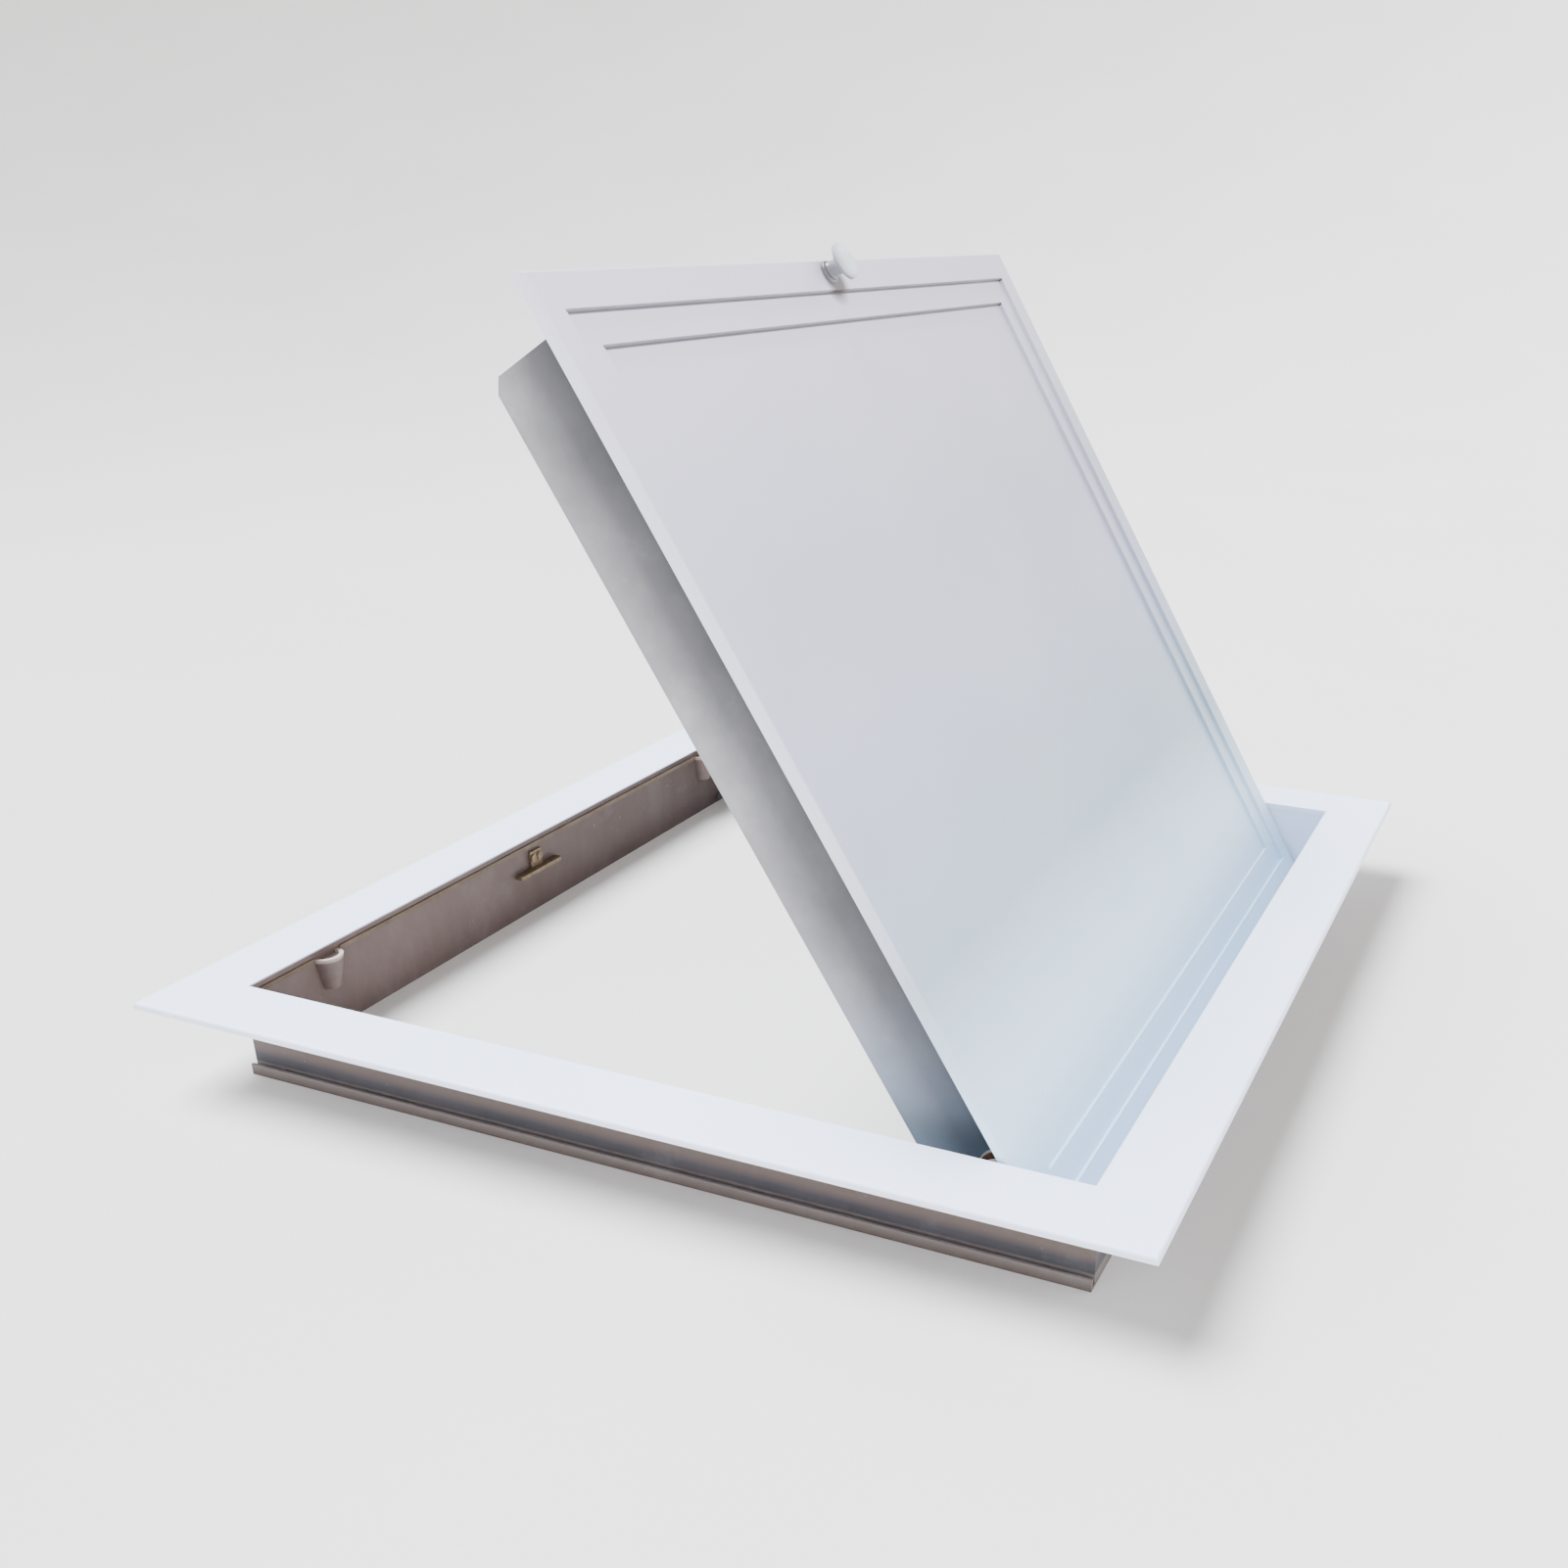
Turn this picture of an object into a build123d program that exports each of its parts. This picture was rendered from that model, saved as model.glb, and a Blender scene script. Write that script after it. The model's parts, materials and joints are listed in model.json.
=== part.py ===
from build123d import *
from math import cos, radians, sin, sqrt
import os

# Sizes in millimetres. The origin is the centre of the collar's bottom edge: X runs across the
# pivot line towards it, Y along it, Z up. Lid pieces are given as they stand with the lid closed.

# Overall
frame_x = 466.0
frame_y = 500.0
collar_depth = 43.0
open_angle = 59.0

# Frame rails: aluminium extrusions; the near and far ones have a lip along the bottom
flange_width = 33.0
flange_t = 3.2
flange_edge_r = 1.4
wall_setback = 0.3
wall_t = 1.6
lip_floor_t = 1.5
lip_gap = 2.2
upstand_t = 1.2
upstand_h = 5.3

# Frame fittings
key_t = 1.2
key_h = 3.6
key_leg = 32.0
rivet_r = 1.2
rivet_head_r = 2.0
rivet_head_t = 0.3
strip_t = 1.0
strip_h = 2.2
strip_drop = 3.4
strip_stop_gap = 0.5
stop_y = 169.5
stop_top_r = 7.8
stop_foot_r = 4.8
stop_drop = 4.6
stop_h = 16.5
stop_dish_r = 5.8
stop_dish_deep = 1.6
stop_screw_r = 1.5
stop_screw_len = 4.0
keeper_y = -10.0
keeper_bar = 36.0
keeper_leg = 10.0
keeper_t = 1.5
keeper_reach = 5.3
keeper_top_drop = 8.0
keeper_foot_drop = 19.5
keeper_foot_t = 2.0
keeper_screw_r = 1.2
keeper_screw_drop = 12.0
keeper_screw_spacing = 5.2
fixing_hole_r = 2.25
fixing_spacing = 220.0
fixing_drop = 14.0

screw_head_ratio = 1.9
screw_head_height_ratio = 0.8

# Pivots
pivot_x = 157.5
pivot_drop = 12.0
pin_r = 4.0
pin_head_r = 7.0
pin_head_t = 3.0
pin_inner_y = 196.5
sleeve_r = 6.0
sleeve_gap = 0.5
bush_clearance = 0.05
bush_r = 5.5
bush_flange_r = 8.0
bush_flange_t = 1.2
bush_inner_y = 198.0
pivot_washer_r = 8.6
pivot_washer_t = 1.0

# Lid
lid_gap_x = 3.3
lid_gap_y = 1.7
rim_w = 14.3
rim_t = 3.2
rim_edge_r = 1.2
shelf_from = 13.7
shelf_to = 27.0
shelf_drop = 1.8
shelf_t = 1.8
panel_from = 24.0
panel_t = 2.0

# Tray under the lid
side_inset = 12.0
free_end_inset = 18.5
hinge_end_inset = 28.0
sheet_t = 1.5
tray_drop = 40.5
corner_cut_x = 5.0
corner_cut_z = 4.0
tab_len = 22.0
back_t = 1.2
core_clear = 0.5
core_end_x = 126.0
pivot_plate_t = 3.0
pivot_plate_x = 27.0
pivot_plate_shift = 4.5
pivot_plate_low = 8.0
pivot_plate_high = 37.5
end_rivet_drops = (12.0, 30.0)
end_rivet_inset = 12.0
plate_rivet_x = 7.0
plate_rivet_low = 12.0
back_screw_r = 1.5
back_screw_head_r = 3.0
back_screw_inset = 10.0
block_size = 12.0
block_h = 10.0

# Turn knob and cam
knob_inset = 6.5
rose_r = 5.0
rose_h = 2.0
rose_edge_r = 0.7
knob_gap = 0.3
neck_foot_r = 4.2
neck_foot_h = 1.2
neck_r = 3.6
knob_r = 8.1
knob_flare_from = 5.4
knob_flare_r = 4.9
knob_flare_h = 7.8
knob_rim_low = 9.1
knob_rim_high = 10.4
knob_h = 13.4
spindle_r = 2.5
spindle_fit = 0.06
spindle_hole_clear = 0.5
spindle_top_h = 7.5
spindle_foot_drop = 26.5
tongue_top_drop = 20.0
tongue_t = 2.5
tongue_reach = 8.5
tongue_back = 4.0
tongue_half_w = 3.8
tongue_corner_r = 1.5
nut_flats = 6.4
nut_h = 3.2
washer_r = 4.6
washer_t = 1.2
washer_gap = 0.4

# Worked out from the sizes above
top = collar_depth
open_x = frame_x / 2 - flange_width
open_y = frame_y / 2 - flange_width
wall_in_x = open_x + wall_setback
wall_in_y = open_y + wall_setback
wall_out_x = wall_in_x + wall_t
wall_out_y = wall_in_y + wall_t
lid_x = open_x - lid_gap_x
lid_y = open_y - lid_gap_y
pivot_z = top - pivot_drop
tray_z = top - tray_drop
panel_z = top - shelf_drop - shelf_t
side_y = lid_y - side_inset
free_end_x = lid_x - free_end_inset
hinge_end_x = lid_x - hinge_end_inset
knob_x = knob_inset - lid_x
hands = (-1, 1)
sides = {-1: "near", 1: "far"}
key_mid_z = lip_floor_t + key_h / 2
stop_z = top - stop_drop
stop_screw_places = [(hand * stop_y, stop_z - stop_h / 2) for hand in hands]
keeper_screw_z = top - keeper_screw_drop
keeper_screw_places = [(keeper_y + hand * keeper_screw_spacing / 2, keeper_screw_z) for hand in hands]
turn_cos = cos(radians(open_angle))
turn_sin = sin(radians(open_angle))


def turned(x, y, z):
    """A direction fixed in the closed lid, turned to the lid's rest angle."""
    return (x * turn_cos + z * turn_sin, y, z * turn_cos - x * turn_sin)


def lid_plane(x, y, z, x_dir=(1, 0, 0), z_dir=(0, 0, 1)):
    """A plane given as it lies with the lid closed, carried round the pivots with the lid."""
    arm_x, arm_y, arm_z = turned(x - pivot_x, y, z - pivot_z)
    origin = (pivot_x + arm_x, arm_y, pivot_z + arm_z)
    return Plane(origin=origin, x_dir=turned(*x_dir), z_dir=turned(*z_dir))


lid_up = Axis((0, 0, 0), turned(0, 0, 1))


def save(part, node):
    part.label = node
    export_step(part, f"parts/{node}.step")


os.makedirs("parts", exist_ok=True)


# Frame rails, mitred at the corners


def make_rail(out_x, out_y):
    """One side of the frame, for the side that faces the direction (out_x, out_y)."""
    half_open = open_x if out_x else open_y
    half_along = open_y if out_x else open_x
    section = Plane(
        origin=(out_x * half_open, out_y * half_open, top),
        x_dir=(out_x, out_y, 0),
        z_dir=(out_y, -out_x, 0),
    )
    wall_out = wall_setback + wall_t
    lip_out = wall_out + lip_gap + upstand_t
    lip = [
        (wall_out, lip_floor_t - collar_depth),
        (wall_out + lip_gap, lip_floor_t - collar_depth),
        (wall_out + lip_gap, upstand_h - collar_depth),
        (lip_out, upstand_h - collar_depth),
        (lip_out, -collar_depth),
    ]
    wall_foot = lip if out_y else [(wall_out, -collar_depth)]
    with BuildPart() as rail:
        with BuildSketch(section):
            with BuildLine():
                Polyline(
                    (0, 0),
                    (flange_width, 0),
                    (flange_width, -flange_t),
                    (wall_out, -flange_t),
                    *wall_foot,
                    (wall_setback, -collar_depth),
                    (wall_setback, -flange_t),
                    (0, -flange_t),
                    close=True,
                )
            make_face()
        extrude(amount=half_along + flange_width, both=True)
        outer_top = rail.edges().filter_by(Axis.Y if out_x else Axis.X).group_by(Axis.Z)[-1]
        outer_axis = Axis((0, 0, 0), (out_x, out_y, 0))
        fillet(outer_top.sort_by(outer_axis)[-1], radius=flange_edge_r)
        for hand in hands:
            along_x = hand * abs(out_y)
            along_y = hand * abs(out_x)
            corner = (out_x * half_open + along_x * half_along, out_y * half_open + along_y * half_along, 0)
            mitre = Plane(origin=corner, z_dir=(along_x - out_x, along_y - out_y, 0))
            split(bisect_by=mitre, keep=Keep.BOTTOM)
        if out_y:
            # The lip ends level with the outside of the walls it meets.
            with BuildSketch(Plane.XY):
                Rectangle(frame_x, frame_y)
                Rectangle(2 * wall_out_x, frame_y, mode=Mode.SUBTRACT)
            extrude(amount=upstand_h, mode=Mode.SUBTRACT)
            wall_face = Plane(origin=(0, 0, 0), x_dir=(1, 0, 0), z_dir=(0, -1, 0))
            with BuildSketch(wall_face):
                with Locations((pivot_x, pivot_z)):
                    Circle(pin_r)
                with Locations((0, top - fixing_drop)):
                    with GridLocations(fixing_spacing, 1, 2, 1):
                        Circle(fixing_hole_r)
            extrude(amount=-out_y * frame_y / 2, mode=Mode.SUBTRACT)
        if out_x < 0:
            latch_face = Plane(origin=(0, 0, 0), x_dir=(0, 1, 0), z_dir=(1, 0, 0))
            with BuildSketch(latch_face):
                with Locations(*stop_screw_places):
                    Circle(stop_screw_r)
                with Locations(*keeper_screw_places):
                    Circle(keeper_screw_r)
            extrude(amount=-frame_x / 2, mode=Mode.SUBTRACT)
        # Rivet holes for the corner keys.
        across = Plane(origin=(0, 0, 0), x_dir=(abs(out_y), abs(out_x), 0), z_dir=(out_x, out_y, 0))
        with BuildSketch(across):
            with Locations((0, key_mid_z * across.y_dir.Z)):
                with GridLocations(2 * half_along - key_leg, 1, 2, 1):
                    Circle(rivet_r)
        extrude(amount=half_open + wall_out, mode=Mode.SUBTRACT)
    return rail.part


for node, out_x, out_y in (
    ("rail_latch", -1, 0),
    ("rail_hinge", 1, 0),
    ("rail_near", 0, -1),
    ("rail_far", 0, 1),
):
    save(make_rail(out_x, out_y), node)


# Corner keys join the rails: each lies inside its corner, with a leg along either wall

with BuildPart() as corner_keys:
    with BuildSketch(Plane.XY.offset(lip_floor_t)):
        Rectangle(2 * wall_in_x, 2 * wall_in_y)
        Rectangle(2 * (wall_in_x - key_t), 2 * (wall_in_y - key_t), mode=Mode.SUBTRACT)
        Rectangle(2 * (wall_in_x - key_leg), frame_y, mode=Mode.SUBTRACT)
        Rectangle(frame_x, 2 * (wall_in_y - key_leg), mode=Mode.SUBTRACT)
    extrude(amount=key_h)
    for out_x, out_y, half_along in ((1, 0, open_y), (0, 1, open_x)):
        across = Plane(origin=(0, 0, 0), x_dir=(out_y, out_x, 0), z_dir=(out_x, out_y, 0))
        with BuildSketch(across):
            with Locations((0, key_mid_z * across.y_dir.Z)):
                with GridLocations(2 * half_along - key_leg, 1, 2, 1):
                    Circle(rivet_r)
        extrude(amount=frame_y, both=True, mode=Mode.SUBTRACT)
save(corner_keys.part, "corner_keys")


def make_key_rivets():
    """Two rivets in each corner key, with their heads inside the frame."""
    with BuildPart() as rivets:
        for out_x, out_y, half_open, half_along in (
            (1, 0, open_x, open_y),
            (-1, 0, open_x, open_y),
            (0, 1, open_y, open_x),
            (0, -1, open_y, open_x),
        ):
            for hand in hands:
                along = hand * (half_along - key_leg / 2)
                inner = half_open + wall_setback - key_t
                foot = (out_x * inner + abs(out_y) * along, out_y * inner + abs(out_x) * along, key_mid_z)
                place = Plane(origin=foot, z_dir=(out_x, out_y, 0))
                with BuildSketch(place):
                    Circle(rivet_head_r)
                extrude(amount=-rivet_head_t)
                with BuildSketch(place):
                    Circle(rivet_r)
                extrude(amount=wall_t + key_t)
    return rivets.part


save(make_key_rivets(), "corner_key_rivets")


# Rubber strip under the flange's inner edge, on the three sides away from the pivots

with BuildPart() as seal_strips:
    with BuildSketch(Plane.XY.offset(top - strip_drop)):
        Rectangle(2 * wall_in_x, 2 * wall_in_y)
        Rectangle(2 * (wall_in_x - strip_t), 2 * (wall_in_y - strip_t), mode=Mode.SUBTRACT)
        with Locations((wall_in_x, 0)):
            Rectangle(2 * (wall_in_x - pivot_x + 2 * sleeve_r), 2 * frame_y, mode=Mode.SUBTRACT)
        with Locations((-wall_in_x, stop_y), (-wall_in_x, -stop_y)):
            Rectangle(4 * strip_t, 2 * (stop_top_r + strip_stop_gap), mode=Mode.SUBTRACT)
    extrude(amount=-strip_h)
save(seal_strips.part, "seal_strips")


# Half-round stops that carry the closed lid's free edge

with BuildPart() as lid_stops:
    for y in (-stop_y, stop_y):
        with BuildSketch(Plane(origin=(-wall_in_x, y, stop_z - stop_h), z_dir=(0, 0, 1))):
            Circle(stop_foot_r)
            with Locations((-stop_top_r, 0)):
                Rectangle(2 * stop_top_r, 2 * stop_top_r, mode=Mode.SUBTRACT)
        with BuildSketch(Plane(origin=(-wall_in_x, y, stop_z), z_dir=(0, 0, 1))):
            Circle(stop_top_r)
            with Locations((-stop_top_r, 0)):
                Rectangle(2 * stop_top_r, 2 * stop_top_r, mode=Mode.SUBTRACT)
        loft()
        with BuildSketch(Plane(origin=(-wall_in_x, y, stop_z), z_dir=(0, 0, 1))):
            Circle(stop_dish_r)
            with Locations((-stop_top_r, 0)):
                Rectangle(2 * stop_top_r, 2 * stop_top_r, mode=Mode.SUBTRACT)
        extrude(amount=-stop_dish_deep, mode=Mode.SUBTRACT)
        with BuildSketch(Plane(origin=(-wall_in_x, y, stop_z - stop_h / 2), z_dir=(1, 0, 0))):
            Circle(stop_screw_r)
        extrude(amount=stop_screw_len, mode=Mode.SUBTRACT)
save(lid_stops.part, "lid_stops")


def make_wall_screws(places, radius, head_x, foot_x, head_side):
    """Round-head screws along X through the latch wall, with heads at head_x."""
    with BuildPart() as screws:
        for y, z in places:
            with BuildSketch(Plane(origin=(head_x, y, z), z_dir=(head_side, 0, 0))):
                Circle(screw_head_ratio * radius)
            extrude(amount=screw_head_height_ratio * radius)
            with BuildSketch(Plane(origin=(head_x, y, z), z_dir=(-head_side, 0, 0))):
                Circle(radius)
            extrude(amount=abs(foot_x - head_x))
    return screws.part


save(
    make_wall_screws(stop_screw_places, stop_screw_r, -wall_out_x, stop_screw_len - wall_in_x, -1),
    "lid_stop_screws",
)


# Keeper for the cam: a brass angle near the middle of the latch wall

keeper_side = Plane(origin=(-wall_in_x, keeper_y, top), x_dir=(1, 0, 0), z_dir=(0, -1, 0))

with BuildPart() as latch_keeper:
    with BuildSketch(keeper_side):
        with Locations((0, -keeper_foot_drop)):
            Rectangle(keeper_t, keeper_foot_drop - keeper_top_drop, align=(Align.MIN, Align.MIN))
    extrude(amount=keeper_leg / 2, both=True)
    with BuildSketch(keeper_side):
        with Locations((0, -keeper_foot_drop)):
            Rectangle(keeper_reach, keeper_foot_t, align=(Align.MIN, Align.MIN))
    extrude(amount=keeper_bar / 2, both=True)
    bar_ends = latch_keeper.edges().filter_by(Axis.Z).group_by(Axis.X)[-1]
    fillet(bar_ends, radius=keeper_t)
    with BuildSketch(Plane(origin=(-wall_in_x, 0, 0), x_dir=(0, 1, 0), z_dir=(1, 0, 0))):
        with Locations(*keeper_screw_places):
            Circle(keeper_screw_r)
    extrude(amount=keeper_t, mode=Mode.SUBTRACT)
save(latch_keeper.part, "latch_keeper")

save(
    make_wall_screws(keeper_screw_places, keeper_screw_r, keeper_t - wall_in_x, -wall_out_x, 1),
    "keeper_screws",
)


# Pivot pins through the near and far walls


def make_pivot_pin(hand):
    with BuildPart() as pin:
        with BuildSketch(Plane(origin=(pivot_x, hand * wall_out_y, pivot_z), z_dir=(0, hand, 0))):
            Circle(pin_head_r)
        extrude(amount=pin_head_t)
        with BuildSketch(Plane(origin=(pivot_x, hand * pin_inner_y, pivot_z), z_dir=(0, hand, 0))):
            Circle(pin_r)
        extrude(amount=wall_out_y - pin_inner_y)
    return pin.part


for hand, name in sides.items():
    save(make_pivot_pin(hand), f"pivot_pin_{name}")

washer_y = side_y + pivot_washer_t
bush_y = washer_y + bush_flange_t


def make_rings(start_y, length, outer_r, inner_r, on_lid):
    """A pair of rings on the pivot line, one at each side, starting at start_y and running outwards."""
    with BuildPart() as rings:
        for hand in hands:
            if on_lid:
                place = lid_plane(pivot_x, hand * start_y, pivot_z, z_dir=(0, hand, 0))
            else:
                place = Plane(origin=(pivot_x, hand * start_y, pivot_z), z_dir=(0, hand, 0))
            with BuildSketch(place):
                Circle(outer_r)
                Circle(inner_r, mode=Mode.SUBTRACT)
            extrude(amount=length)
    return rings.part


sleeve_y = bush_y + sleeve_gap
save(make_rings(sleeve_y, wall_in_y - sleeve_y, sleeve_r, pin_r, False), "pivot_sleeves")
save(make_rings(side_y, pivot_washer_t, pivot_washer_r, bush_r, True), "pivot_washers")


def make_bushes():
    with BuildPart() as bushes:
        for hand in hands:
            with BuildSketch(lid_plane(pivot_x, hand * washer_y, pivot_z, z_dir=(0, hand, 0))):
                Circle(bush_flange_r)
                Circle(pin_r + bush_clearance, mode=Mode.SUBTRACT)
            extrude(amount=bush_flange_t)
            with BuildSketch(lid_plane(pivot_x, hand * bush_inner_y, pivot_z, z_dir=(0, hand, 0))):
                Circle(bush_r)
                Circle(pin_r + bush_clearance, mode=Mode.SUBTRACT)
            extrude(amount=washer_y - bush_inner_y)
    return bushes.part


save(make_bushes(), "pivot_bushes")


# Lid rim: a raised border and, one step down, the shelf that holds the panel

with BuildPart() as lid_rim:
    with BuildSketch(lid_plane(0, 0, top - rim_t)):
        Rectangle(2 * lid_x, 2 * lid_y)
        Rectangle(2 * (lid_x - rim_w), 2 * (lid_y - rim_w), mode=Mode.SUBTRACT)
    extrude(amount=rim_t)
    top_face = lid_rim.faces().sort_by(lid_up)[-1]
    fillet(top_face.outer_wire().edges(), radius=rim_edge_r)
    with BuildSketch(lid_plane(0, 0, panel_z)):
        Rectangle(2 * (lid_x - shelf_from), 2 * (lid_y - shelf_from))
        Rectangle(2 * (lid_x - shelf_to), 2 * (lid_y - shelf_to), mode=Mode.SUBTRACT)
    extrude(amount=shelf_t)
    with BuildSketch(lid_plane(knob_x, 0, top)):
        Circle(spindle_r + spindle_hole_clear)
    extrude(amount=-rim_t, mode=Mode.SUBTRACT)
save(lid_rim.part, "lid_rim")

with BuildPart() as lid_panel:
    with BuildSketch(lid_plane(0, 0, panel_z)):
        Rectangle(2 * (lid_x - panel_from), 2 * (lid_y - panel_from))
    extrude(amount=-panel_t)
save(lid_panel.part, "lid_panel")


# Tray under the lid: two sides, two ends and a back sheet

rivet_z = [top - drop for drop in end_rivet_drops]
rivet_y = side_y - sheet_t - end_rivet_inset
plate_rivet_places = [
    (pivot_x - plate_rivet_x, plate_rivet_low),
    (pivot_x + plate_rivet_x, plate_rivet_low),
]


def make_tray_side(hand):
    """A side sheet with a tab folded in behind the free end's sheet."""
    face = lid_plane(0, hand * side_y, 0, x_dir=(1, 0, 0), z_dir=(0, -hand, 0))
    up = face.y_dir.dot(Vector(*turned(0, 0, 1)))
    tab_x = sheet_t - free_end_x
    with BuildPart() as side:
        with BuildSketch(face):
            with BuildLine():
                Polyline(
                    (-free_end_x, up * (top - rim_t)),
                    (hinge_end_x, up * (top - rim_t)),
                    (hinge_end_x, up * tray_z),
                    (corner_cut_x - free_end_x, up * tray_z),
                    (-free_end_x, up * (tray_z + corner_cut_z)),
                    close=True,
                )
            make_face()
            with Locations((pivot_x, up * pivot_z)):
                Circle(bush_r, mode=Mode.SUBTRACT)
            with Locations(*[(x, up * z) for x, z in plate_rivet_places]):
                Circle(rivet_r, mode=Mode.SUBTRACT)
        extrude(amount=sheet_t)
        tab_top = panel_z - core_clear
        tab_low = tray_z + corner_cut_z
        tab_y = hand * (side_y - sheet_t - tab_len / 2)
        with BuildSketch(lid_plane(tab_x, tab_y, (tab_top + tab_low) / 2, x_dir=(0, 1, 0), z_dir=(1, 0, 0))):
            Rectangle(tab_len, tab_top - tab_low)
        extrude(amount=sheet_t)
        with BuildSketch(lid_plane(tab_x, hand * rivet_y, 0, x_dir=(0, 1, 0), z_dir=(1, 0, 0))):
            with Locations(*[(0, z) for z in rivet_z]):
                Circle(rivet_r)
        extrude(amount=sheet_t, mode=Mode.SUBTRACT)
    return side.part


for hand, name in sides.items():
    save(make_tray_side(hand), f"tray_side_{name}")

end_width = 2 * (side_y - sheet_t)

with BuildPart() as tray_end_free:
    low = tray_z + corner_cut_z
    with BuildSketch(lid_plane(-free_end_x, 0, 0, x_dir=(0, 1, 0), z_dir=(1, 0, 0))):
        with Locations((0, low)):
            Rectangle(end_width, panel_z - low, align=(Align.CENTER, Align.MIN))
        with Locations(*[(hand * rivet_y, z) for hand in hands for z in rivet_z]):
            Circle(rivet_r, mode=Mode.SUBTRACT)
    extrude(amount=sheet_t)
save(tray_end_free.part, "tray_end_free")

with BuildPart() as tray_end_hinge:
    with BuildSketch(lid_plane(hinge_end_x, 0, 0, x_dir=(0, 1, 0), z_dir=(1, 0, 0))):
        with Locations((0, tray_z)):
            Rectangle(end_width, panel_z - panel_t - tray_z, align=(Align.CENTER, Align.MIN))
    extrude(amount=-sheet_t)
save(tray_end_hinge.part, "tray_end_hinge")

back_low_x = corner_cut_x - free_end_x
back_high_x = hinge_end_x - sheet_t
screw_grid_x = back_high_x - back_low_x - 2 * back_screw_inset
screw_grid_y = end_width - 2 * back_screw_inset
back_mid_x = (back_low_x + back_high_x) / 2

with BuildPart() as tray_back:
    with BuildSketch(lid_plane(back_mid_x, 0, tray_z)):
        Rectangle(back_high_x - back_low_x, end_width)
        with GridLocations(screw_grid_x, screw_grid_y, 2, 2):
            Circle(back_screw_r, mode=Mode.SUBTRACT)
    extrude(amount=back_t)
    # The front edge is folded up along the cut corner to meet the free end's sheet.
    fold = lid_plane(0, 0, 0, x_dir=(1, 0, 0), z_dir=(0, -1, 0))
    with BuildSketch(fold):
        with BuildLine():
            Polyline(
                (back_low_x, tray_z),
                (-free_end_x, tray_z + corner_cut_z),
                (sheet_t - free_end_x, tray_z + corner_cut_z),
                (back_low_x + back_t, tray_z + back_t),
                (back_low_x + back_t, tray_z),
                close=True,
            )
        make_face()
    extrude(amount=end_width / 2, both=True)
save(tray_back.part, "tray_back")

with BuildPart() as back_blocks:
    with BuildSketch(lid_plane(back_mid_x, 0, tray_z + back_t)):
        with GridLocations(screw_grid_x, screw_grid_y, 2, 2):
            Rectangle(block_size, block_size)
            Circle(back_screw_r, mode=Mode.SUBTRACT)
    extrude(amount=block_h)
save(back_blocks.part, "back_screw_blocks")

with BuildPart() as back_screws:
    with BuildSketch(lid_plane(back_mid_x, 0, tray_z)):
        with GridLocations(screw_grid_x, screw_grid_y, 2, 2):
            Circle(back_screw_head_r)
    extrude(amount=-screw_head_height_ratio * back_screw_r)
    with BuildSketch(lid_plane(back_mid_x, 0, tray_z)):
        with GridLocations(screw_grid_x, screw_grid_y, 2, 2):
            Circle(back_screw_r)
    extrude(amount=back_t + block_h)
save(back_screws.part, "back_screws")

core_low_x = 2 * sheet_t - free_end_x + core_clear
core_half_y = end_width / 2 - core_clear

with BuildPart() as insulation_core:
    with BuildSketch(lid_plane((core_low_x + core_end_x) / 2, 0, tray_z + back_t)):
        Rectangle(core_end_x - core_low_x, 2 * core_half_y)
    extrude(amount=panel_z - panel_t - tray_z - back_t)
    # Room for the screw blocks and for the folded front of the back sheet.
    with BuildSketch(lid_plane(back_mid_x, 0, tray_z + back_t)):
        with GridLocations(screw_grid_x, screw_grid_y, 2, 2):
            Rectangle(block_size + 2 * core_clear, block_size + 2 * core_clear)
        with Locations((core_low_x - back_mid_x, 0)):
            Rectangle(2 * corner_cut_x, end_width)
    extrude(amount=block_h + core_clear, mode=Mode.SUBTRACT)
save(insulation_core.part, "insulation_core")


def make_end_rivets():
    """Rivets that hold the free end's sheet to the side sheets' tabs, heads outwards."""
    with BuildPart() as rivets:
        for hand in hands:
            for z in rivet_z:
                with BuildSketch(lid_plane(-free_end_x, hand * rivet_y, z, x_dir=(0, 1, 0), z_dir=(1, 0, 0))):
                    Circle(rivet_r)
                extrude(amount=2 * sheet_t)
                head = lid_plane(-free_end_x, hand * rivet_y, z, x_dir=(0, 1, 0), z_dir=(-1, 0, 0))
                with BuildSketch(head):
                    Circle(rivet_head_r)
                extrude(amount=2 * rivet_head_t)
    return rivets.part


save(make_end_rivets(), "tray_end_rivets")


# Steel plates inside the tray's sides carry the pivot bushes


def make_pivot_plates():
    with BuildPart() as plates:
        for hand in hands:
            inner_y = side_y - sheet_t - pivot_plate_t
            plate_z = (pivot_plate_low + pivot_plate_high) / 2
            place = lid_plane(pivot_x - pivot_plate_shift, hand * inner_y, plate_z, z_dir=(0, hand, 0))
            with BuildSketch(place):
                Rectangle(pivot_plate_x, pivot_plate_high - pivot_plate_low)
            extrude(amount=pivot_plate_t)
            with BuildSketch(lid_plane(pivot_x, hand * inner_y, pivot_z, z_dir=(0, hand, 0))):
                Circle(bush_r)
            extrude(amount=pivot_plate_t, mode=Mode.SUBTRACT)
            for x, z in plate_rivet_places:
                with BuildSketch(lid_plane(x, hand * inner_y, z, z_dir=(0, hand, 0))):
                    Circle(rivet_r)
                extrude(amount=pivot_plate_t, mode=Mode.SUBTRACT)
    return plates.part


save(make_pivot_plates(), "pivot_plates")


def make_plate_rivets():
    with BuildPart() as rivets:
        for hand in hands:
            for x, z in plate_rivet_places:
                with BuildSketch(lid_plane(x, hand * side_y, z, z_dir=(0, hand, 0))):
                    Circle(rivet_head_r)
                extrude(amount=2 * rivet_head_t)
                with BuildSketch(lid_plane(x, hand * side_y, z, z_dir=(0, -hand, 0))):
                    Circle(rivet_r)
                extrude(amount=sheet_t + pivot_plate_t)
    return rivets.part


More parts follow.
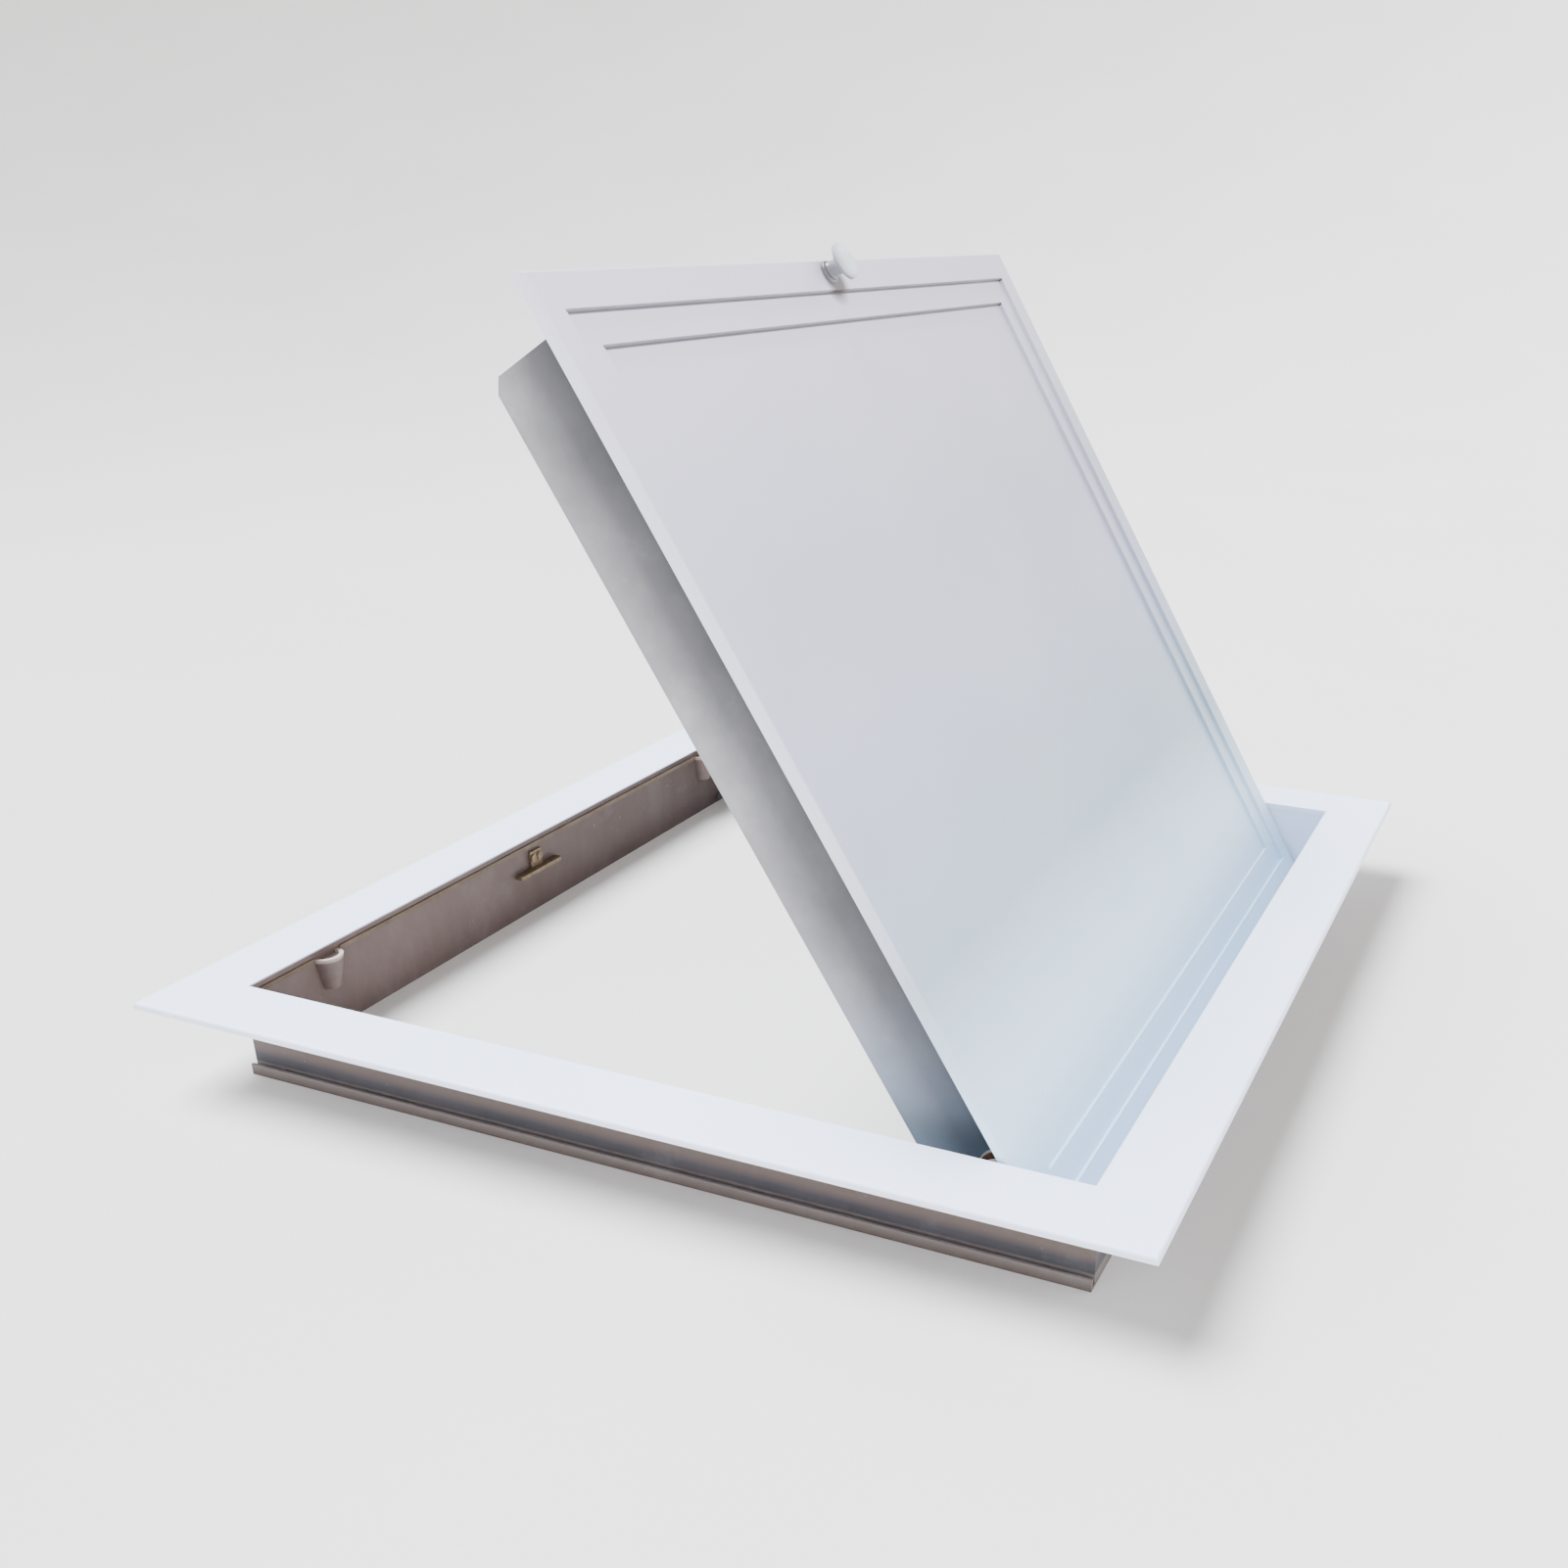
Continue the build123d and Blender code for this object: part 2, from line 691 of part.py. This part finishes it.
save(make_plate_rivets(), "pivot_plate_rivets")


# Turn knob, spindle and cam at the middle of the lid's free edge

with BuildPart() as knob_rose:
    with BuildSketch(lid_plane(knob_x, 0, top)):
        Circle(rose_r)
        Circle(spindle_r + spindle_fit, mode=Mode.SUBTRACT)
    extrude(amount=rose_h)
    fillet(knob_rose.edges().group_by(lid_up)[-1].sort_by(SortBy.LENGTH)[-1], radius=rose_edge_r)
save(knob_rose.part, "knob_rose")

knob_foot_h = rose_h + knob_gap
knob_section = lid_plane(knob_x, 0, top, x_dir=(0, 1, 0), z_dir=(1, 0, 0))
knob_axis = Axis(knob_section.origin, knob_section.y_dir)
# The dome is part of a sphere centred on the knob's axis.
dome_rise = knob_h - knob_rim_high
dome_radius = (knob_r**2 + dome_rise**2) / (2 * dome_rise)
dome_mid = (knob_r / 2, knob_h - dome_radius + sqrt(dome_radius**2 - (knob_r / 2) ** 2))

with BuildPart() as knob:
    with BuildSketch(knob_section):
        with BuildLine():
            Polyline(
                (0, knob_h),
                (0, spindle_top_h),
                (spindle_r, spindle_top_h),
                (spindle_r, knob_foot_h),
                (neck_foot_r, knob_foot_h),
                (neck_r, knob_foot_h + neck_foot_h),
                (neck_r, knob_flare_from),
            )
            ThreePointArc((neck_r, knob_flare_from), (knob_flare_r, knob_flare_h), (knob_r, knob_rim_low))
            Line((knob_r, knob_rim_low), (knob_r, knob_rim_high))
            ThreePointArc((knob_r, knob_rim_high), dome_mid, (0, knob_h))
        make_face()
    revolve(axis=knob_axis)
save(knob.part, "knob")

with BuildPart() as knob_spindle:
    with BuildSketch(lid_plane(knob_x, 0, top - spindle_foot_drop)):
        Circle(spindle_r)
    extrude(amount=spindle_foot_drop + spindle_top_h)
save(knob_spindle.part, "knob_spindle")

with BuildPart() as cam_tongue:
    with BuildSketch(lid_plane(knob_x, 0, top - tongue_top_drop)):
        with Locations((0, (tongue_reach - tongue_back) / 2)):
            Rectangle(2 * tongue_half_w, tongue_reach + tongue_back)
        Circle(spindle_r, mode=Mode.SUBTRACT)
    extrude(amount=-tongue_t)
    fillet(cam_tongue.edges().filter_by(knob_axis), radius=tongue_corner_r)
save(cam_tongue.part, "cam_tongue")

with BuildPart() as cam_nut:
    with BuildSketch(lid_plane(knob_x, 0, top - tongue_top_drop - tongue_t)):
        RegularPolygon(nut_flats / 2, 6, major_radius=False, rotation=30)
        Circle(spindle_r, mode=Mode.SUBTRACT)
    extrude(amount=-nut_h)
save(cam_nut.part, "cam_nut")

with BuildPart() as spindle_washer:
    with BuildSketch(lid_plane(knob_x, 0, top - rim_t - washer_gap)):
        Circle(washer_r)
        Circle(spindle_r, mode=Mode.SUBTRACT)
    extrude(amount=-washer_t)
save(spindle_washer.part, "spindle_washer")
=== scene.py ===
import json
import math

import bmesh
import bpy
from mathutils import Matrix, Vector

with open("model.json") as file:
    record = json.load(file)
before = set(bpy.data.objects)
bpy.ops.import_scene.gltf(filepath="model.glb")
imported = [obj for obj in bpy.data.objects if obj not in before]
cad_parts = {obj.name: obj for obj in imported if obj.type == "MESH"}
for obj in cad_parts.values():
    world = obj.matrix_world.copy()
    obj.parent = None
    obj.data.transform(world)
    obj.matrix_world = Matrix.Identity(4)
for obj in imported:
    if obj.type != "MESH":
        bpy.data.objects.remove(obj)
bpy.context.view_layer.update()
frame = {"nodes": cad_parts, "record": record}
nodes = frame["nodes"]

MM = 0.001
FLANGE_UNDERSIDE = 39.8 * MM
COLLAR_TOP = 43 * MM
COLLAR_HALF_X = 201 * MM
COLLAR_HALF_Y = 218 * MM
LID_ANGLE = math.radians(59)
PIVOT = Vector((157.5 * MM, 0, 31 * MM))
UP_LID = Vector((-math.cos(LID_ANGLE), 0, math.sin(LID_ANGLE)))
OUT_OF_LID = Vector((math.sin(LID_ANGLE), 0, math.cos(LID_ANGLE)))
FREE_EDGE = PIVOT.dot(UP_LID) + 354.2 * MM
LID_FACE = PIVOT.dot(OUT_OF_LID) + 12 * MM
LID_HALF_Y = 215.3 * MM
STOP_TOP = COLLAR_TOP - 4.6 * MM
STEP_INSETS = (14.3 * MM, 27 * MM)
KNOB_FOOT = Vector((-11.29 * MM, 0, 335.22 * MM))
KNOB_HEIGHT = 13.7 * MM
SHADED_WALL_X = -190 * MM
UNSHADED_WALL_X = -60 * MM
PIVOT_TINT_REACH = 90 * MM
TRAY_LIT_DEPTH = 38 * MM
TRAY_DARK_DEPTH = 4 * MM
LENS_SENSOR = 36
LENS_FOCUS = 35.81
LENS_SHIFT = (-0.1124, 0.1124)
CAMERA_PLACE = (0.3346, -0.6737, 0.3569)
CAMERA_TURN = (64.633, -0.625, 22.755)
WORLD_COLOUR = (0.93, 0.94, 0.97, 1)
WORLD_STRENGTH = 0.2
BEND_STEPS = 10
SPIN_STEPS = 96
ALONG_X = (1, 0, 0)
ACROSS = (0, 1, 0)
UP = (0, 0, 1)


# Materials. Noise sizes are given as the length of one blotch, in metres.


class Look:
    """A node material with a few short calls for the patterns that the finishes share."""

    def __init__(self, name, roughness, metallic=0.0):
        self.material = bpy.data.materials.new(name)
        self.material.use_nodes = True
        self.tree = self.material.node_tree
        self.shader = self.tree.nodes["Principled BSDF"]
        self.shader.inputs["Roughness"].default_value = roughness
        self.shader.inputs["Metallic"].default_value = metallic
        self.place = self.tree.nodes.new("ShaderNodeTexCoord").outputs["Object"]

    def set(self, socket, value):
        self.shader.inputs[socket].default_value = value

    def link(self, source, target):
        self.tree.links.new(source, target)

    def noise(self, blotch, detail=3.0, rough=0.55, stretch=(1, 1, 1)):
        spread = self.tree.nodes.new("ShaderNodeMapping")
        spread.inputs["Scale"].default_value = stretch
        self.link(self.place, spread.inputs["Vector"])
        pattern = self.tree.nodes.new("ShaderNodeTexNoise")
        pattern.inputs["Scale"].default_value = 1 / blotch
        pattern.inputs["Detail"].default_value = detail
        pattern.inputs["Roughness"].default_value = rough
        self.link(spread.outputs["Vector"], pattern.inputs["Vector"])
        return pattern.outputs["Fac"]

    def along(self, direction):
        """How far a point lies along a direction, in metres from the origin."""
        dot = self.tree.nodes.new("ShaderNodeVectorMath")
        dot.operation = "DOT_PRODUCT"
        self.link(self.place, dot.inputs[0])
        dot.inputs[1].default_value = direction
        return dot.outputs["Value"]

    def math(self, operation, *values):
        node = self.tree.nodes.new("ShaderNodeMath")
        node.operation = operation
        for socket, value in zip(node.inputs, values):
            if isinstance(value, bpy.types.NodeSocket):
                self.link(value, socket)
            else:
                socket.default_value = value
        return node.outputs["Value"]

    def near(self, point, full, none):
        """One within a distance of a point, falling to zero at a larger one."""
        away = self.tree.nodes.new("ShaderNodeVectorMath")
        away.operation = "DISTANCE"
        self.link(self.place, away.inputs[0])
        away.inputs[1].default_value = point
        return self.spread(away.outputs["Value"], 1, 0, full, none)

    def band(self, value, centre, half, soft):
        """One inside the band centre +- half, falling to zero over soft."""
        off = self.math("ABSOLUTE", self.math("SUBTRACT", value, centre))
        return self.spread(off, 1, 0, half, half + soft)

    def ramp(self, value, *stops):
        ramp = self.tree.nodes.new("ShaderNodeValToRGB")
        points = ramp.color_ramp.elements
        while len(points) < len(stops):
            points.new(0.5)
        for point, (position, colour) in zip(points, stops):
            point.position = position
            point.color = (*colour, 1)
        self.link(value, ramp.inputs["Fac"])
        return ramp.outputs["Color"]

    def spread(self, value, low, high, from_low=0.3, from_high=0.7):
        scale = self.tree.nodes.new("ShaderNodeMapRange")
        scale.inputs["From Min"].default_value = from_low
        scale.inputs["From Max"].default_value = from_high
        scale.inputs["To Min"].default_value = low
        scale.inputs["To Max"].default_value = high
        self.link(value, scale.inputs["Value"])
        return scale.outputs["Result"]

    def blend(self, amount, first, second, mode="MIX"):
        mix = self.tree.nodes.new("ShaderNodeMix")
        mix.data_type = "RGBA"
        mix.blend_type = mode
        inputs = (mix.inputs[0], mix.inputs[6], mix.inputs[7])
        for socket, value in zip(inputs, (amount, first, second)):
            if isinstance(value, bpy.types.NodeSocket):
                self.link(value, socket)
            elif isinstance(value, tuple):
                socket.default_value = (*value, 1)
            else:
                socket.default_value = value
        return mix.outputs[2]

    def colour(self, source):
        self.link(source, self.shader.inputs["Base Color"])

    def roughness(self, source):
        self.link(source, self.shader.inputs["Roughness"])

    def bump(self, *layers):
        """Layers are (height output, strength, depth in metres)."""
        normal = None
        for height, strength, depth in layers:
            node = self.tree.nodes.new("ShaderNodeBump")
            node.inputs["Strength"].default_value = strength
            node.inputs["Distance"].default_value = depth
            self.link(height, node.inputs["Height"])
            if normal:
                self.link(normal, node.inputs["Normal"])
            normal = node.outputs["Normal"]
        self.link(normal, self.shader.inputs["Normal"])


def coat_surface(look, base, shade):
    """Powder coat over a base colour: orange peel, faint smudges and a few dust specks."""
    smudge = look.noise(0.035, detail=6, rough=0.7, stretch=(1, 0.6, 1))
    base = look.blend(look.spread(smudge, 0, 0.1, 0.56, 0.8), base, tuple(0.72 * c for c in shade))
    specks = look.noise(0.0028, detail=2)
    base = look.blend(look.spread(specks, 0, 0.3, 0.72, 0.8), base, tuple(0.6 * c for c in shade))
    look.colour(base)
    look.roughness(look.spread(smudge, 0.36, 0.5))
    look.bump((look.noise(0.0016, detail=2), 0.14, 0.0002), (look.noise(0.03), 0.06, 0.0008))
    look.set("Coat Weight", 0.15)
    look.set("Coat Roughness", 0.25)


def frame_coat():
    """White on the flange; the collar below it carries painted shade, with a painted shadow band above
    the lip, and the inside walls are lighter towards the pivots, where the painted shade ends.
    """
    look = Look("frame_coat_finish", 0.42)
    clouds = look.noise(0.12, detail=4)
    white = look.ramp(clouds, (0.35, (0.72, 0.775, 0.94)), (0.65, (0.76, 0.805, 0.96)))
    # Painted shade on the collar's inside walls: dark brown-grey with blotches, darker towards +y,
    # fading out towards the pivots.
    shade_mottle = look.noise(0.05, detail=7, rough=0.68, stretch=(1, 1, 0.5))
    wall = look.ramp(
        shade_mottle,
        (0.3, (0.115, 0.08, 0.071)),
        (0.55, (0.145, 0.105, 0.096)),
        (0.75, (0.185, 0.142, 0.132)),
    )
    shaded = look.spread(look.along(ACROSS), 1.05, 0.45, -COLLAR_HALF_Y, COLLAR_HALF_Y)
    wall = look.blend(1.0, wall, shaded, "MULTIPLY")
    rise = look.spread(look.along(UP), 0, 1, 0, FLANGE_UNDERSIDE)
    # Painted shade on the collar's outside, by height: the lip lighter, a painted shadow band just
    # above it, and dark brown-grey up to the flange.
    painted_outer_shade = look.ramp(
        rise,
        (0.02, (0.1, 0.08, 0.07)),
        (0.13, (0.19, 0.165, 0.155)),
        (0.15, (0.05, 0.05, 0.06)),
        (0.23, (0.055, 0.055, 0.065)),
        (0.34, (0.13, 0.102, 0.09)),
        (0.95, (0.21, 0.16, 0.13)),
    )
    painted_outer_shade = look.blend(look.spread(shade_mottle, 0, 0.35), painted_outer_shade, (0.12, 0.1, 0.1))
    # Inside walls towards the pivots get no painted shade: near-white coat.
    unshaded_inside = look.ramp(clouds, (0.35, (0.63, 0.7, 0.86)), (0.65, (0.69, 0.76, 0.9)))
    inner_x = look.band(look.along(ALONG_X), 0, COLLAR_HALF_X, 0.4 * MM)
    inner_y = look.band(look.along(ACROSS), 0, COLLAR_HALF_Y, 0.4 * MM)
    inside = look.math("MULTIPLY", inner_x, inner_y)
    past_latch = look.spread(look.along(ALONG_X), 0, 1, SHADED_WALL_X, UNSHADED_WALL_X)
    collar = look.blend(inside, painted_outer_shade, look.blend(past_latch, wall, unshaded_inside))
    flange_low = FLANGE_UNDERSIDE - 0.3 * MM
    top_skin = look.spread(look.along(UP), 0, 1, COLLAR_TOP - 0.9 * MM, COLLAR_TOP - 0.4 * MM)
    above = look.spread(look.along(UP), 0, 1, flange_low - 0.5 * MM, flange_low)
    above_outside = look.math("MULTIPLY", above, look.math("SUBTRACT", 1, inside))
    white_part = look.math("MAXIMUM", top_skin, above_outside)
    coat_surface(look, look.blend(white_part, collar, white), (0.6, 0.6, 0.62))
    look.set("Specular IOR Level", 0.15)
    look.set("Coat Weight", 0.0)
    return look.material


def lid_coat():
    """White with painted light and shade: lavender at the free edge, bluer at the pivots, a painted
    highlight along the near edge, painted shade lines at the steps and a painted shadow below the knob.
    """
    look = Look("lid_coat_finish", 0.4)
    clouds = look.noise(0.14, detail=4)
    up_lid = look.along(UP_LID)
    rise = look.spread(up_lid, 0, 1, PIVOT.dot(UP_LID), FREE_EDGE)
    # Painted light and shade along the lid: bright bluish at the pivot end, a darker band above it,
    # lighter lavender at the free edge.
    painted_light_ramp = look.ramp(
        rise,
        (0.06, (0.55, 0.74, 0.9)),
        (0.22, (0.27, 0.37, 0.48)),
        (0.5, (0.39, 0.42, 0.55)),
        (0.66, (0.44, 0.435, 0.55)),
        (0.97, (0.6, 0.575, 0.71)),
    )
    # Painted shade across the lid: lighter at -y, darker at +y.
    across = look.spread(look.along(ACROSS), 1.12, 0.86, -LID_HALF_Y, LID_HALF_Y)
    painted_light_ramp = look.blend(1.0, painted_light_ramp, across, "MULTIPLY")
    base = look.blend(look.spread(clouds, 0, 0.12), painted_light_ramp, (0.8, 0.8, 0.84))
    # Painted highlight along the lid's near (-y) edge, fading out towards the pivots.
    edge_highlight = look.band(look.along(ACROSS), -LID_HALF_Y, 3.2 * MM, 1.2 * MM)
    edge_highlight = look.math("MULTIPLY", edge_highlight, look.spread(rise, 0, 0.75, 0.1, 0.4))
    base = look.blend(edge_highlight, base, (0.76, 0.75, 0.85))
    # Painted shade: a dark line at each step near the free edge.
    for inset in STEP_INSETS:
        line = look.band(up_lid, FREE_EDGE - inset - 0.5 * MM, 0.35 * MM, 0.5 * MM)
        inner = look.band(look.along(ACROSS), 0, LID_HALF_Y - inset, 0.5 * MM)
        base = look.blend(look.math("MULTIPLY", line, inner), base, (0.1, 0.09, 0.1))
    # Painted shadow on the lid, just below the knob's foot.
    knob_shadow = look.near(KNOB_FOOT - 4 * MM * UP_LID + Vector((0, 4 * MM, 0)), 5 * MM, 11 * MM)
    base = look.blend(look.math("MULTIPLY", knob_shadow, 0.95), base, (0.045, 0.03, 0.028))
    coat_surface(look, base, (0.6, 0.6, 0.65))
    return look.material


def mill_sheet():
    """Bare rolled sheet with a cloudy bloom, with painted shade beside the rim and painted bluish shade
    near the pivots.
    """
    look = Look("mill_sheet_finish", 0.5, metallic=0.3)
    clouds = look.noise(0.045, detail=7, rough=0.62)
    base = look.ramp(
        clouds,
        (0.3, (0.2, 0.195, 0.205)),
        (0.52, (0.28, 0.275, 0.29)),
        (0.72, (0.4, 0.39, 0.405)),
    )
    lines = look.noise(0.004, detail=4, stretch=(0.05, 1, 0.05))
    base = look.blend(look.spread(lines, 0, 0.22), base, (0.18, 0.18, 0.19))
    scuffs = look.noise(0.011, detail=8, rough=0.75)
    base = look.blend(look.spread(scuffs, 0, 0.35, 0.6, 0.75), base, (0.45, 0.45, 0.46))
    # Painted shade with a bluish cast towards the pivot end.
    at_pivots = PIVOT.dot(UP_LID)
    pivot_end = look.spread(look.along(UP_LID), 0.85, 0, at_pivots, at_pivots + PIVOT_TINT_REACH)
    base = look.blend(pivot_end, base, (0.14, 0.2, 0.26))
    # Painted shade on the tray sides: darkest just under the lid's rim, full colour deeper down.
    out = look.along(OUT_OF_LID)
    rise = look.spread(out, 0, 1, LID_FACE - TRAY_LIT_DEPTH, LID_FACE - TRAY_DARK_DEPTH)
    shade = look.ramp(
        rise,
        (0.0, (1.0, 1.0, 1.0)),
        (0.5, (0.38, 0.38, 0.39)),
        (1.0, (0.15, 0.145, 0.15)),
    )
    base = look.blend(1.0, base, shade, "MULTIPLY")
    look.colour(base)
    look.roughness(look.spread(clouds, 0.42, 0.62))
    look.bump((lines, 0.1, 0.0002), (scuffs, 0.12, 0.0003))
    return look.material


def plain_metal(name, dark, light, roughness, grain=0.0016):
    """Turned or pressed metal: fine grain with tarnish gathered in blotches."""
    look = Look(name, roughness, metallic=0.9)
    tarnish = look.noise(0.006, detail=5, rough=0.65)
    base = look.ramp(tarnish, (0.32, dark), (0.68, light))
    look.colour(base)
    look.roughness(look.spread(tarnish, roughness + 0.14, roughness - 0.06))
    look.bump((look.noise(grain, detail=4), 0.2, 0.0001))
    return look.material


def moulded_plastic(name, dark, light, roughness, grain=0.0009):
    look = Look(name, roughness)
    mottle = look.noise(0.008, detail=5)
    look.colour(look.ramp(mottle, (0.3, dark), (0.7, light)))
    look.roughness(look.spread(mottle, roughness - 0.05, roughness + 0.1))
    look.bump((look.noise(grain, detail=3), 0.18, 0.0001))
    return look.material


def stop_skin():
    """Brown moulded plastic, worn pale on the top where the lid rests."""
    look = Look("stop_finish", 0.5)
    mottle = look.noise(0.008, detail=5)
    body = look.ramp(mottle, (0.3, (0.1, 0.068, 0.06)), (0.7, (0.16, 0.115, 0.105)))
    worn = look.spread(look.along(UP), 0, 0.9, STOP_TOP - 2.2 * MM, STOP_TOP - 1.2 * MM)
    look.colour(look.blend(worn, body, (0.42, 0.35, 0.31)))
    look.roughness(look.spread(mottle, 0.45, 0.6))
    look.bump((look.noise(0.0009, detail=3), 0.18, 0.0001))
    return look.material


def knob_skin():
    """White plastic with painted shade: dark at the foot, on the stem and under the head, light on top.
    """
    look = Look("knob_finish", 0.3)
    mottle = look.noise(0.008, detail=5)
    # Painted shade by height above the lid: darkest at the foot, a dark band under the head, light on
    # top.
    out = look.spread(look.along(OUT_OF_LID), 0, 1, LID_FACE, LID_FACE + KNOB_HEIGHT)
    base = look.ramp(
        out,
        (0.0, (0.08, 0.068, 0.075)),
        (0.3, (0.15, 0.135, 0.145)),
        (0.6, (0.3, 0.3, 0.33)),
        (0.72, (0.17, 0.17, 0.2)),
        (0.79, (0.4, 0.41, 0.46)),
        (0.9, (0.66, 0.68, 0.75)),
    )
    look.colour(look.blend(look.spread(mottle, 0, 0.2), base, (0.5, 0.5, 0.52)))
    look.roughness(look.spread(mottle, 0.25, 0.4))
    look.bump((look.noise(0.0009, detail=3), 0.18, 0.0001))
    return look.material


def rubber():
    look = Look("seal_rubber_finish", 0.78)
    bloom = look.noise(0.02, detail=6, rough=0.7)
    look.colour(look.ramp(bloom, (0.35, (0.09, 0.06, 0.04)), (0.7, (0.16, 0.115, 0.08))))
    look.bump((look.noise(0.0008), 0.3, 0.0001))
    return look.material


def insulation():
    look = Look("foam_finish", 0.9)
    cells = look.noise(0.0025, detail=6, rough=0.8)
    look.colour(look.ramp(cells, (0.3, (0.6, 0.54, 0.36)), (0.7, (0.82, 0.76, 0.56))))
    look.bump((cells, 0.6, 0.0006))
    return look.material


finishes = {
    "white_coat": frame_coat(),
    "lid_coat": lid_coat(),
    "mill_sheet": mill_sheet(),
    "steel": plain_metal("zinc_finish", (0.42, 0.43, 0.42), (0.66, 0.67, 0.64), 0.38),
    "bronze": plain_metal("bronze_finish", (0.06, 0.025, 0.015), (0.14, 0.06, 0.04), 0.5),
    "brass": plain_metal("brass_finish", (0.12, 0.085, 0.055), (0.25, 0.185, 0.12), 0.55),
    "seal_rubber": rubber(),
    "stop_plastic": stop_skin(),
    "knob_plastic": knob_skin(),
    "foam": insulation(),
    "block_plastic": moulded_plastic("block_finish", (0.04, 0.04, 0.04), (0.09, 0.09, 0.09), 0.5),
}

key_finish = plain_metal("key_finish", (0.1, 0.09, 0.085), (0.2, 0.18, 0.17), 0.5)

for part in frame["record"]["subparts"]:
    piece = nodes[part["node"]]
    for place in piece.material_slots:
        corner_joint = part["node"] in ("corner_keys", "corner_key_rivets")
        place.material = key_finish if corner_joint else finishes[part["material_slot"]]


# Camera at the photo's viewpoint

lens_data = bpy.data.cameras.new("photo_camera")
lens_data.sensor_width = LENS_SENSOR
lens_data.lens = LENS_FOCUS
lens_data.shift_x, lens_data.shift_y = LENS_SHIFT
lens_data.clip_start = 0.01
camera = bpy.data.objects.new("photo_camera", lens_data)
camera.location = CAMERA_PLACE
camera.rotation_euler = [math.radians(angle) for angle in CAMERA_TURN]
bpy.context.collection.objects.link(camera)
bpy.context.scene.camera = camera


# Floor and light


def make_floor():
    """A round floor that curves up into a sloping wall all round, so the background stays pale."""
    flat, bend, steepest, wall = 2.2, 3.4, math.radians(70), 4.4
    profile = [(0.0, 0.0), (flat / 2, 0.0)]
    for step in range(BEND_STEPS + 1):
        angle = steepest * step / BEND_STEPS
        profile.append((flat + bend * math.sin(angle), bend * (1 - math.cos(angle))))
    low_x, low_z = profile[-1]
    profile.append((low_x + wall * math.cos(steepest), low_z + wall * math.sin(steepest)))
    shell = bmesh.new()
    line = [shell.verts.new((radius, 0, height)) for radius, height in profile]
    edges = [shell.edges.new(pair) for pair in zip(line, line[1:])]
    bmesh.ops.spin(
        shell,
        geom=line + edges,
        cent=(0, 0, 0),
        axis=UP,
        angle=2 * math.pi,
        steps=SPIN_STEPS,
        use_merge=True,
    )
    bmesh.ops.remove_doubles(shell, verts=shell.verts, dist=0.001)
    bmesh.ops.recalc_face_normals(shell, faces=shell.faces)
    mesh = bpy.data.meshes.new("floor")
    shell.to_mesh(mesh)
    shell.free()
    for face in mesh.polygons:
        face.use_smooth = True
    floor = bpy.data.objects.new("floor", mesh)
    bpy.context.collection.objects.link(floor)
    look = Look("floor_finish", 0.8)
    look.colour(look.ramp(look.noise(0.4), (0.3, (0.63, 0.6, 0.565)), (0.7, (0.66, 0.63, 0.595))))
    mesh.materials.append(look.material)


def add_sun(name, towards, strength, softness, colour):
    """A soft sun that shines from the direction given by towards."""
    data = bpy.data.lights.new(name, "SUN")
    data.energy = strength
    data.angle = math.radians(softness)
    data.color = colour
    light = bpy.data.objects.new(name, data)
    light.rotation_euler = Vector(towards).to_track_quat("Z", "Y").to_euler()
    bpy.context.collection.objects.link(light)


make_floor()
add_sun("overhead", (-0.54, -0.02, 0.85), 17.6, 42, (0.86, 0.92, 1.0))
add_sun("front_fill", (0.5, -0.6, 0.9), 0.5, 30, (1.0, 0.97, 0.98))
world = bpy.data.worlds.new("studio")
world.use_nodes = True
world.node_tree.nodes["Background"].inputs["Color"].default_value = WORLD_COLOUR
world.node_tree.nodes["Background"].inputs["Strength"].default_value = WORLD_STRENGTH
bpy.context.scene.world = world
